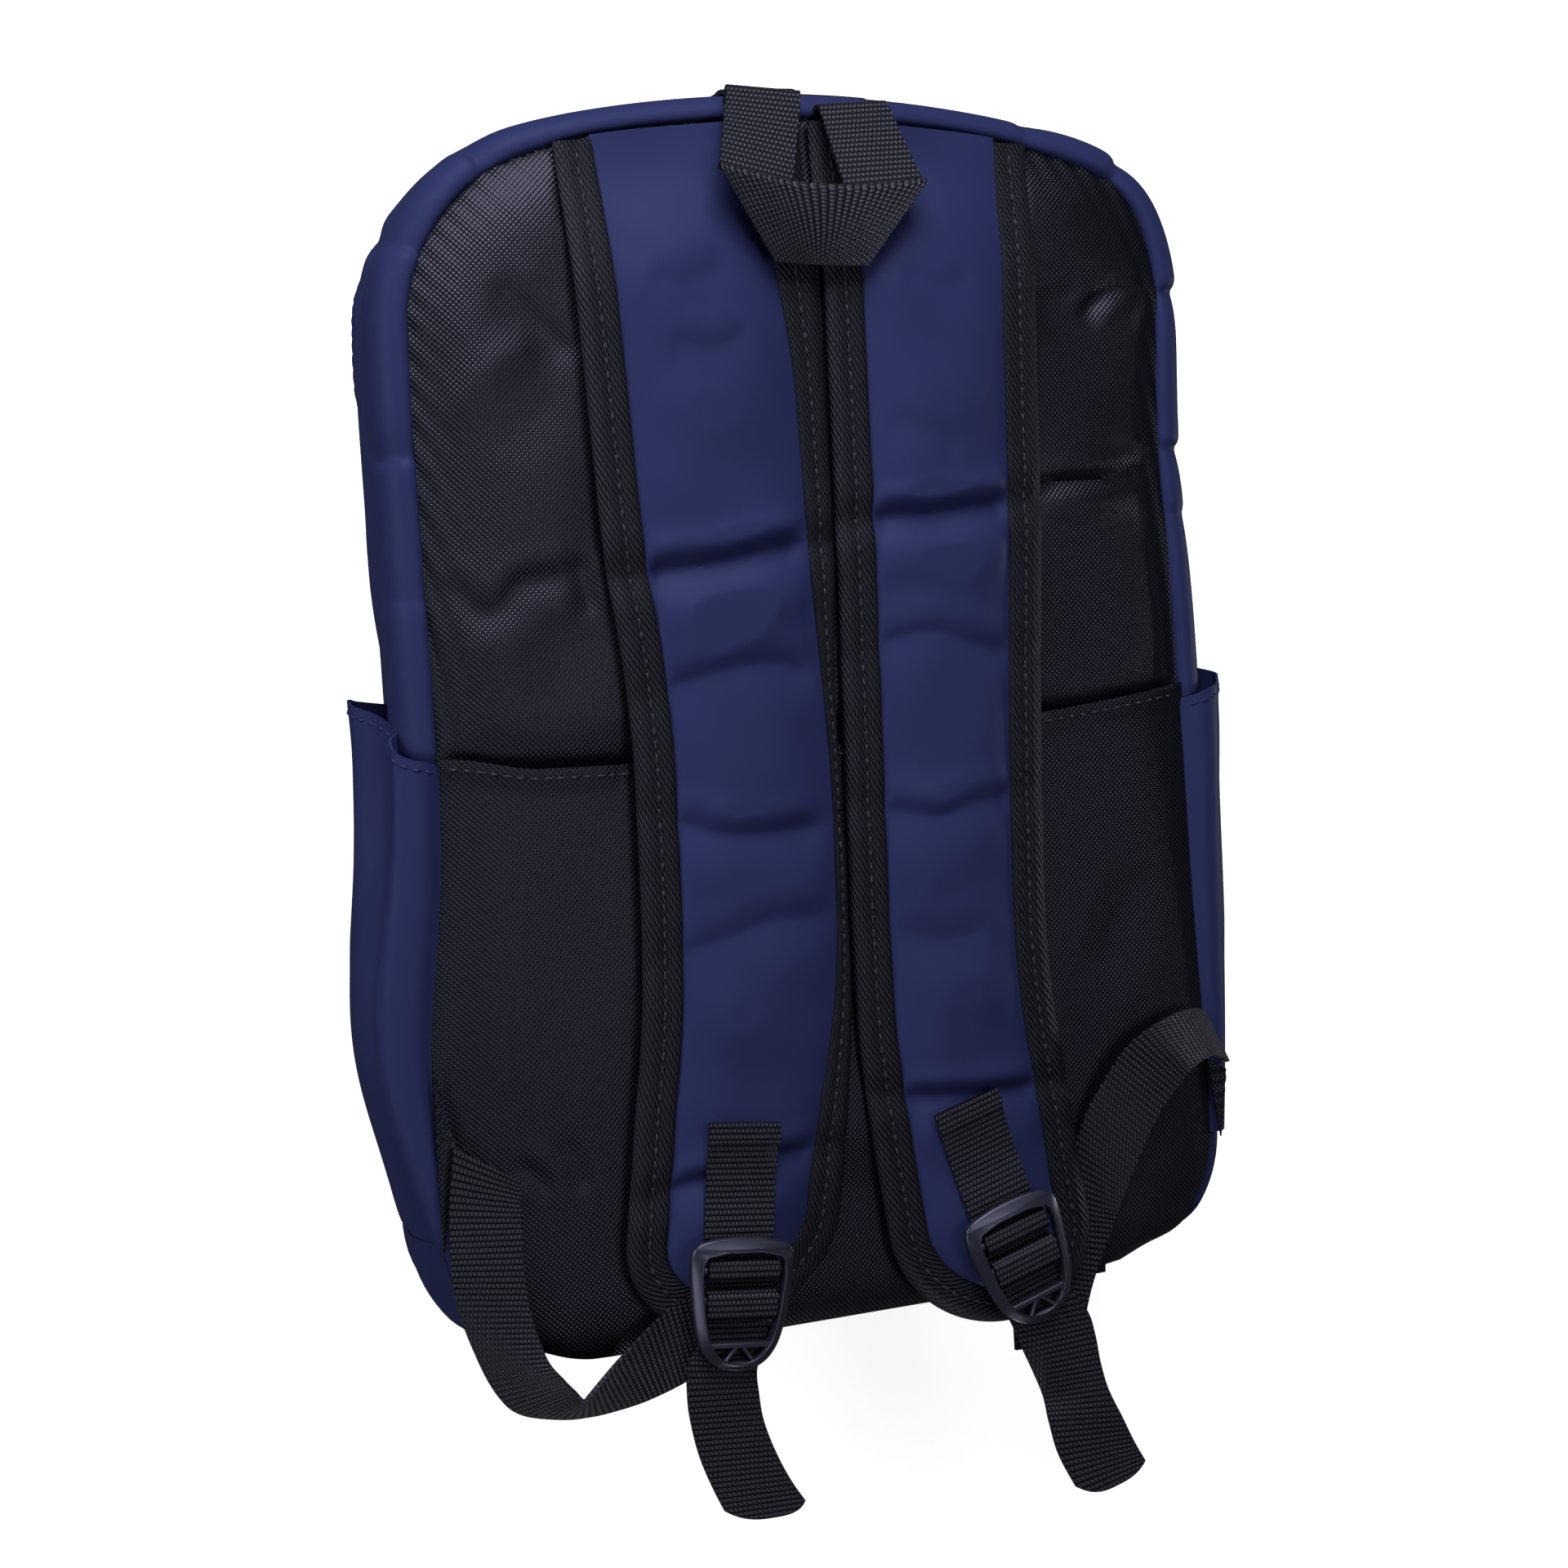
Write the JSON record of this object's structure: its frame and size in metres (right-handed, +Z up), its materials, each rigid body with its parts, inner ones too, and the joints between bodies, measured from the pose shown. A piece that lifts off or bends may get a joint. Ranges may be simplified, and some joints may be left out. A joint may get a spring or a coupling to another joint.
{
  "type": "school backpack",
  "caption": "Navy school backpack lying on its front, with padded shoulder straps, ladder-lock buckles, grab handle, gaping side pockets and a zipped main compartment.",
  "frame": {"origin": "on the front pocket's flat face, at the middle of the bag's width and length, where the bag rests on the floor", "axes": "+X to the right of someone who looks at the back panel, +Y to the top of the bag, +Z up out of the back panel"},
  "size_m": [0.3212, 0.5089, 0.1595],
  "materials": {
    "navy_coated_cloth": "matt coated nylon",
    "black_oxford_cloth": "plain-woven oxford polyester",
    "black_webbing": "ribbed polypropylene webbing",
    "black_twill_tape": "herringbone twill tape",
    "black_lining": "plain lining cloth",
    "grey_foam": "open-cell foam sheet",
    "navy_zip_tape": "woven zip tape",
    "black_moulded_plastic": "semi-gloss moulded acetal",
    "black_lacquered_zinc": "black lacquered die casting"
  },
  "bodies": {
    "front": {"front_pocket": "navy_coated_cloth", "front_panel": "navy_coated_cloth", "front_zip_tape": "navy_zip_tape", "base_hinge_gusset": "navy_coated_cloth", "pocket_zip_tape": "navy_zip_tape"},
    "shell": {"shell_zip_tape": "navy_zip_tape", "top_gusset": "navy_coated_cloth", "left_side_panel": "navy_coated_cloth", "right_side_panel": "navy_coated_cloth", "base_panel": "navy_coated_cloth", "back_lining": "black_lining", "back_foam": "grey_foam", "back_panel": "black_oxford_cloth", "back_edge_roll": "navy_coated_cloth", "back_pocket": "black_oxford_cloth", "left_side_pocket": "navy_coated_cloth", "right_side_pocket": "navy_coated_cloth", "left_webbing_tab": "black_oxford_cloth", "right_webbing_tab": "black_oxford_cloth", "left_lower_webbing": "black_webbing", "right_lower_webbing": "black_webbing", "left_strap_upper": "navy_coated_cloth", "left_strap_upper_left_binding": "black_twill_tape", "left_strap_upper_right_binding": "black_twill_tape", "right_strap_upper": "navy_coated_cloth", "right_strap_upper_left_binding": "black_twill_tape", "right_strap_upper_right_binding": "black_twill_tape", "left_handle_anchor": "black_webbing", "right_handle_anchor": "black_webbing"},
    "handle": {"grab_handle": "black_webbing"},
    "left_strap": {"left_strap_pad": "navy_coated_cloth", "left_strap_binding": "black_twill_tape", "left_anchor_webbing": "black_webbing"},
    "right_strap": {"right_strap_pad": "navy_coated_cloth", "right_strap_binding": "black_twill_tape", "right_anchor_webbing": "black_webbing"},
    "left_adjuster": {"left_buckle": "black_moulded_plastic", "left_tail_webbing": "black_webbing"},
    "right_adjuster": {"right_buckle": "black_moulded_plastic", "right_tail_webbing": "black_webbing"},
    "left_main_slider": {"left_main_zip_slider": "black_lacquered_zinc"},
    "right_main_slider": {"right_main_zip_slider": "black_lacquered_zinc"},
    "left_main_pull": {"left_main_zip_pull": "black_lacquered_zinc"},
    "right_main_pull": {"right_main_zip_pull": "black_lacquered_zinc"},
    "pocket_slider": {"pocket_zip_slider": "black_lacquered_zinc"},
    "pocket_pull": {"pocket_zip_pull": "black_lacquered_zinc"}
  },
  "joints": [
    {"name": "main_opening", "type": "hinge", "parent": "front", "child": "shell", "pos_m": [0, -0.214, 0.05815], "axis": [1, 0, 0], "range_deg": [0, 60]},
    {"name": "handle_swing", "type": "hinge", "parent": "shell", "child": "handle", "pos_m": [0, 0.2154, 0.1382], "axis": [-1, 0, 0], "range_deg": [0, 140]},
    {"name": "left_strap_lift", "type": "hinge", "parent": "shell", "child": "left_strap", "pos_m": [-0.0415, 0.058, 0.1496], "axis": [-1, 0, 0], "range_deg": [0, 18], "deforming": ["left_lower_webbing"]},
    {"name": "right_strap_lift", "type": "hinge", "parent": "shell", "child": "right_strap", "pos_m": [0.0425, 0.073, 0.1496], "axis": [-1, 0, 0], "range_deg": [0, 18], "deforming": ["right_lower_webbing"]},
    {"name": "left_buckle_tilt", "type": "hinge", "parent": "left_strap", "child": "left_adjuster", "pos_m": [-0.0531, -0.18009, 0.15525], "axis": [-0.9925, 0.1219, 0], "range_deg": [0, 12], "deforming": ["left_lower_webbing"]},
    {"name": "right_buckle_tilt", "type": "hinge", "parent": "right_strap", "child": "right_adjuster", "pos_m": [0.04923, -0.18197, 0.15525], "axis": [-0.9588, -0.284, 0], "range_deg": [0, 12], "deforming": ["right_lower_webbing"]},
    {"name": "left_main_slider_run", "type": "hinge", "parent": "front", "child": "left_main_slider", "pos_m": [0, -0.236, 0.05815], "axis": [0, 0, 1], "range_deg": [0, 9]},
    {"name": "right_main_slider_run", "type": "hinge", "parent": "front", "child": "right_main_slider", "pos_m": [0, -0.236, 0.05815], "axis": [0, 0, -1], "range_deg": [0, 9]},
    {"name": "left_main_pull_swing", "type": "hinge", "parent": "left_main_slider", "child": "left_main_pull", "pos_m": [-0.00669, 0.22018, 0.05815], "axis": [1, 0.0026, 0], "range_deg": [0, 100]},
    {"name": "right_main_pull_swing", "type": "hinge", "parent": "right_main_slider", "child": "right_main_pull", "pos_m": [0.00669, 0.22018, 0.05815], "axis": [1, -0.0026, 0], "range_deg": [0, 100]},
    {"name": "pocket_slider_run", "type": "slide", "parent": "front", "child": "pocket_slider", "axis": [1, 0, 0], "range_m": [0, 0.15]},
    {"name": "pocket_pull_swing", "type": "hinge", "parent": "pocket_slider", "child": "pocket_pull", "pos_m": [-0.077, 0.0677, 0.023], "axis": [1, 0, 0], "range_deg": [0, 100]}
  ]
}
